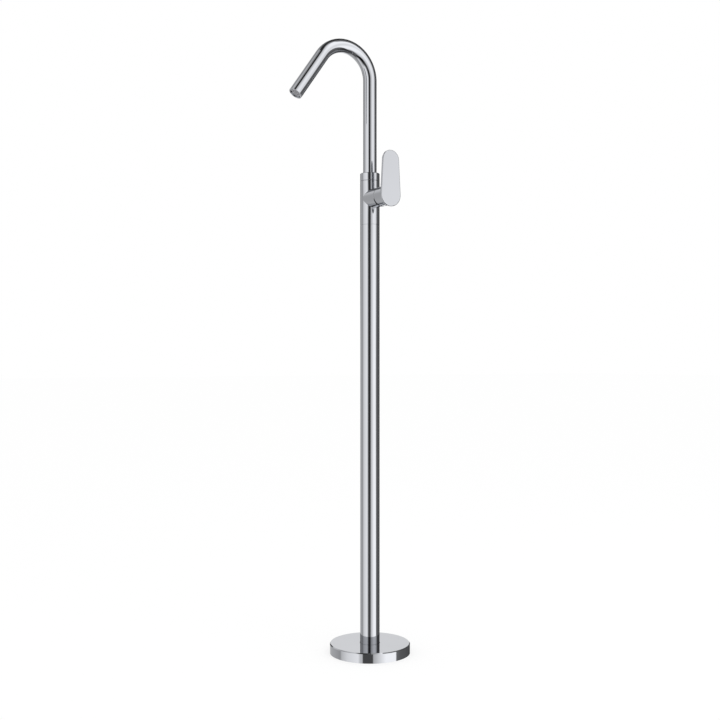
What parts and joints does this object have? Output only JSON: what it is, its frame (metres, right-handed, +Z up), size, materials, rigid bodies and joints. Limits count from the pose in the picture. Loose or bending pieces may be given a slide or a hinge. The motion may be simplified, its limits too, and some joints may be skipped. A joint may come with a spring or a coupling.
{
  "type": "floor-standing basin mixer",
  "caption": "Floor-standing chrome basin mixer: slim column on a round base, gooseneck swivel spout and side paddle lever over a ceramic-disc cartridge.",
  "frame": {"origin": "centre of the base's underside on the floor, on the column's axis", "axes": "+Z up the column; the spout points to -Y at rest; the lever's axis runs along +X"},
  "size_m": [0.148, 0.241, 1.122],
  "materials": {
    "chrome": "polished chrome plate on brass, mirror bright with faint polishing marks",
    "brass": "plain turned brass",
    "plate_steel": "cut stainless plate",
    "screw_steel": "stainless steel",
    "hose_braid": "braided stainless sleeve over rubber hose",
    "rubber": "matt black rubber",
    "grey_plastic": "moulded grey plastic",
    "dark_plastic": "moulded dark plastic",
    "white_plastic": "moulded white plastic",
    "ceramic": "lapped alumina ceramic"
  },
  "bodies": {
    "root": {"base_cover": "chrome", "cover_seal": "rubber", "floor_gasket": "rubber", "floor_plate": "plate_steel", "column_foot": "brass", "foot_screws": "screw_steel", "inlet_block": "brass", "block_screws": "screw_steel", "manifold_gasket": "rubber", "hose_manifold": "brass", "manifold_screws": "screw_steel", "lower_nipples": "brass", "hot_hose": "hose_braid", "cold_hose": "hose_braid", "hose_sleeves": "screw_steel", "upper_nipples": "brass", "column_tube": "chrome", "column_coupler": "brass", "mixer_body": "chrome", "swivel_stop_screw": "screw_steel", "glide_ring": "dark_plastic", "cartridge_base": "dark_plastic", "cartridge_seals": "rubber", "fixed_disc": "ceramic", "cartridge_housing": "white_plastic", "cartridge_nut": "brass", "dome_cap": "chrome"},
    "spout": {"spout_insert": "brass", "swivel_seals": "rubber", "swivel_collar": "chrome", "spout_tube": "chrome", "outlet_sleeve": "chrome", "aerator_shell": "chrome", "aerator_grid": "grey_plastic", "aerator_screen": "grey_plastic", "aerator_seal": "rubber"},
    "temperature": {"temperature_guide": "dark_plastic", "stem_pin": "screw_steel"},
    "lever": {"cartridge_stem": "brass", "lever": "chrome", "lever_screw": "screw_steel", "screw_plug": "dark_plastic"},
    "disc": {"moving_disc": "ceramic", "disc_carrier": "white_plastic"}
  },
  "joints": [
    {"name": "spout_swivel", "type": "hinge", "parent": "root", "child": "spout", "pos_m": [0, 0, 0.869], "axis": [0, 0, 1], "range_deg": [-75, 75]},
    {"name": "temperature_turn", "type": "hinge", "parent": "root", "child": "temperature", "pos_m": [0, 0, 0.8355], "axis": [1, 0, 0], "range_deg": [-50, 50]},
    {"name": "lever_tilt", "type": "hinge", "parent": "temperature", "child": "lever", "pos_m": [0.03, 0, 0.8355], "axis": [0, 1, 0], "range_deg": [0, 15]},
    {"name": "disc_slide", "type": "slide", "parent": "temperature", "child": "disc", "axis": [0, 0, 1], "range_m": [0, 0.00189]}
  ],
  "couplings": [
    {"joint": "disc_slide", "follows": "lever_tilt", "m_per_rad": 0.0072}
  ]
}
